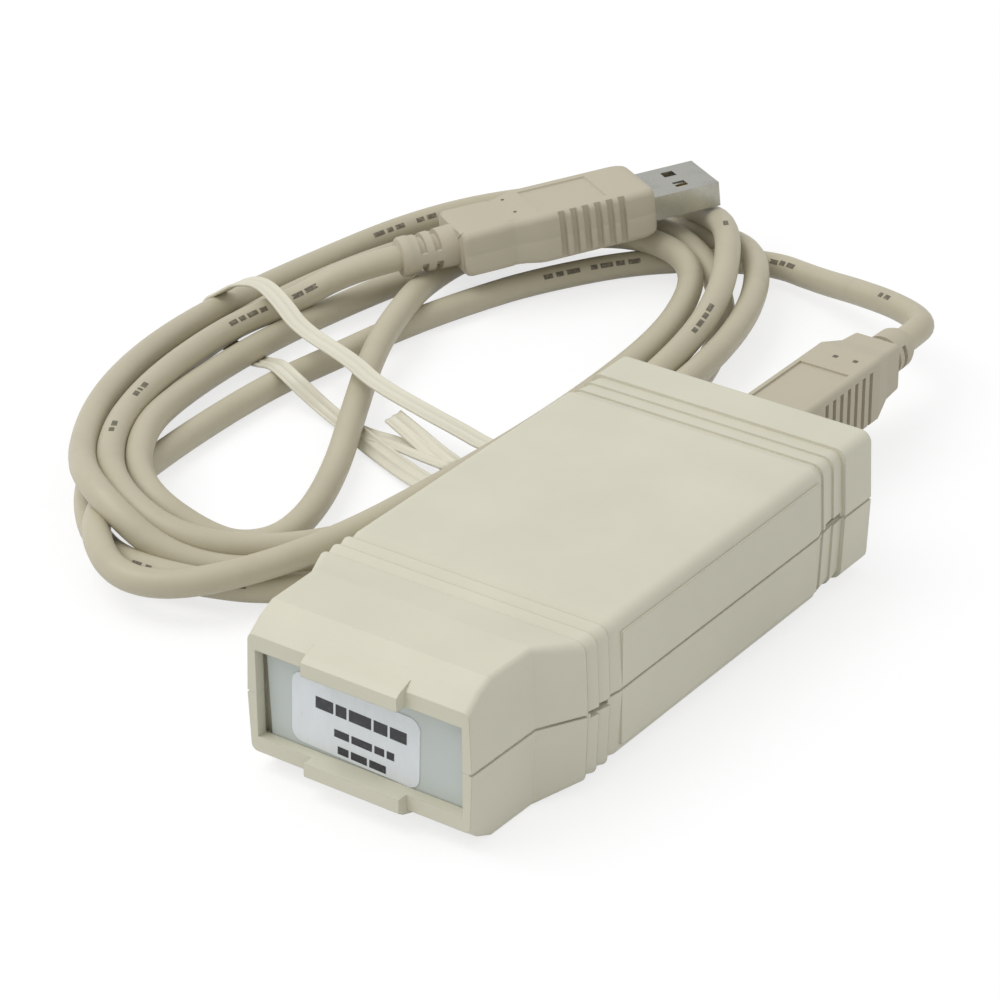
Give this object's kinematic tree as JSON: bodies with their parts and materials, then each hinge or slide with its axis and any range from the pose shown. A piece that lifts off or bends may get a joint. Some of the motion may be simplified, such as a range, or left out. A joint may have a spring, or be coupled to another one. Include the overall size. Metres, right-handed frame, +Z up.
{
  "type": "usb radio modem",
  "caption": "Radio modem in a two-part moulded plastic case with stepped bands and a deeper nose, its USB lead plugged in at the back and loosely coiled beside it.",
  "frame": {"origin": "on the table, under the middle of the case seen from above", "axes": "+X to the right seen from the nose, +Y from the nose to the rear of the case, +Z up"},
  "size_m": [0.1451, 0.2011, 0.026],
  "materials": {
    "case_plastic": "fine matt moulded, warm grey beige",
    "panel_plastic": "plain matt sheet, cut on its left edge",
    "label_stock": "printed film label, plain bars",
    "cord_jacket": "soft vinyl, satin, beige",
    "plug_moulding": "soft vinyl moulding, satin, beige",
    "plug_steel": "bright plated sheet",
    "white_plastic": "plain moulded insert",
    "black_plastic": "plain moulded",
    "contact_metal": "gold-flashed",
    "board": "green solder mask on glass laminate",
    "tin": "tinned sheet",
    "screw_steel": "zinc plated",
    "antenna_copper": "enamelled wire",
    "ceramic": "fired ceramic body",
    "tie_plastic": "ribbed flat plastic tie, cream"
  },
  "bodies": {
    "root": {"antenna_wire": "antenna_copper", "board_screws": "screw_steel", "bottom_cover": "case_plastic", "cable_bight": "cord_jacket", "cable_coil": "cord_jacket", "cable_lead": "cord_jacket", "cable_tail": "cord_jacket", "chip_capacitors": "ceramic", "chip_resistors": "black_plastic", "circuit_board": "board", "crystal": "tin", "front_label": "label_stock", "front_panel": "panel_plastic", "microcontroller": "black_plastic", "module_pin_strips": "black_plastic", "module_sockets": "black_plastic", "plug_a_body": "plug_moulding", "plug_a_contacts": "contact_metal", "plug_a_insulator": "white_plastic", "plug_a_shell": "plug_steel", "plug_b_body": "plug_moulding", "plug_b_insulator": "white_plastic", "plug_b_shell": "plug_steel", "radio_module_board": "board", "radio_shield_can": "tin", "rear_panel": "panel_plastic", "round_capacitors": "tin", "top_cover": "case_plastic", "twist_tie": "tie_plastic", "usb_bridge_chip": "black_plastic", "usb_socket_contacts": "contact_metal", "usb_socket_insulator": "white_plastic", "usb_socket_shell": "tin", "voltage_regulator": "black_plastic"}
  },
  "joints": []
}
